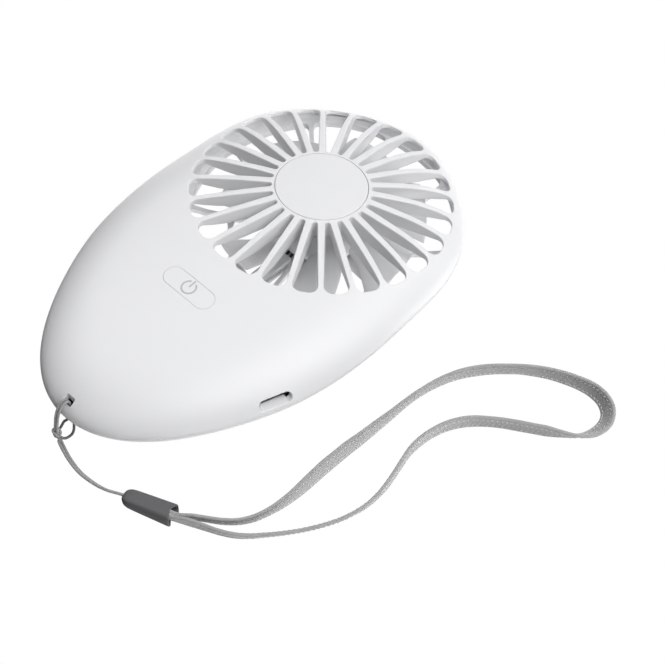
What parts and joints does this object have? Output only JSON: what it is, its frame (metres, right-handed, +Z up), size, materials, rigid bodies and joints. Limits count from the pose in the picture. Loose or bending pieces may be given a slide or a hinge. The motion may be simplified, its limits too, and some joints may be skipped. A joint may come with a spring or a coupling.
{
  "type": "handheld fan",
  "caption": "Flat pebble-shaped pocket fan in white plastic with a domed radial grille, a flush power button, a side charging port and a grey wrist strap.",
  "frame": {"origin": "under the middle of the body, on the surface that the flat back rests on", "axes": "+X toward the charging port side, +Y from the strap end to the fan head, +Z up out of the front grille"},
  "size_m": [0.1436, 0.1419, 0.0223],
  "materials": {
    "shell_plastic": "fine satin white plastic",
    "cap_plastic": "fine satin white plastic",
    "button_plastic": "fine satin white plastic with a printed power mark",
    "fan_plastic": "satin light grey plastic",
    "screw_steel": "plated steel",
    "black_plastic": "moulded black plastic",
    "motor_steel": "turned steel",
    "magnet": "bonded ferrite",
    "circuit_board": "green solder mask",
    "brass": "turned brass",
    "bronze": "sintered bronze",
    "stator_steel": "stacked laminations",
    "copper": "enamelled copper wire",
    "battery_foil": "laminated foil pouch",
    "foam": "adhesive foam",
    "port_steel": "plated stamped steel",
    "ferrite": "ferrite block",
    "led_lens": "cast resin",
    "wire_red": "insulated wire",
    "wire_black": "insulated wire",
    "strap_cord": "grey braided cord",
    "strap_sleeve": "dark grey moulded rubber",
    "strap_webbing": "grey woven webbing"
  },
  "bodies": {
    "housing": {"front_shell": "shell_plastic", "grille_cap": "cap_plastic", "rear_shell": "shell_plastic", "case_screw_1": "screw_steel", "case_screw_2": "screw_steel", "case_screw_3": "screw_steel", "switch_base": "black_plastic", "motor_board": "circuit_board", "bearing_tube": "brass", "sleeve_bearing": "bronze", "stator_core": "stator_steel", "stator_coil_1": "copper", "stator_coil_2": "copper", "stator_coil_3": "copper", "stator_coil_4": "copper", "battery_cell": "battery_foil", "battery_pad": "foam", "main_board": "circuit_board", "usb_socket": "port_steel", "usb_tongue": "black_plastic", "charge_chip": "black_plastic", "driver_chip": "black_plastic", "inductor": "ferrite", "status_led": "led_lens", "motor_lead_red": "wire_red", "motor_lead_black": "wire_black", "battery_lead_red": "wire_red", "battery_lead_black": "wire_black", "lead_cover": "shell_plastic", "strap_cord": "strap_cord", "strap_sleeve": "strap_sleeve", "strap_webbing": "strap_webbing"},
    "rotor": {"impeller": "fan_plastic", "rotor_yoke": "motor_steel", "rotor_magnet": "magnet", "motor_shaft": "motor_steel"},
    "button": {"power_button": "button_plastic", "switch_plunger": "black_plastic"}
  },
  "joints": [
    {"name": "impeller_spin", "type": "hinge", "parent": "housing", "child": "rotor", "pos_m": [0, 0.02807, 0.008], "axis": [0, 0, 1], "continuous": true},
    {"name": "button_press", "type": "slide", "parent": "housing", "child": "button", "axis": [0, 0, -1], "range_m": [0, 0.0006], "stiffness_N_per_m": 800, "springref_m": -0.0005}
  ]
}
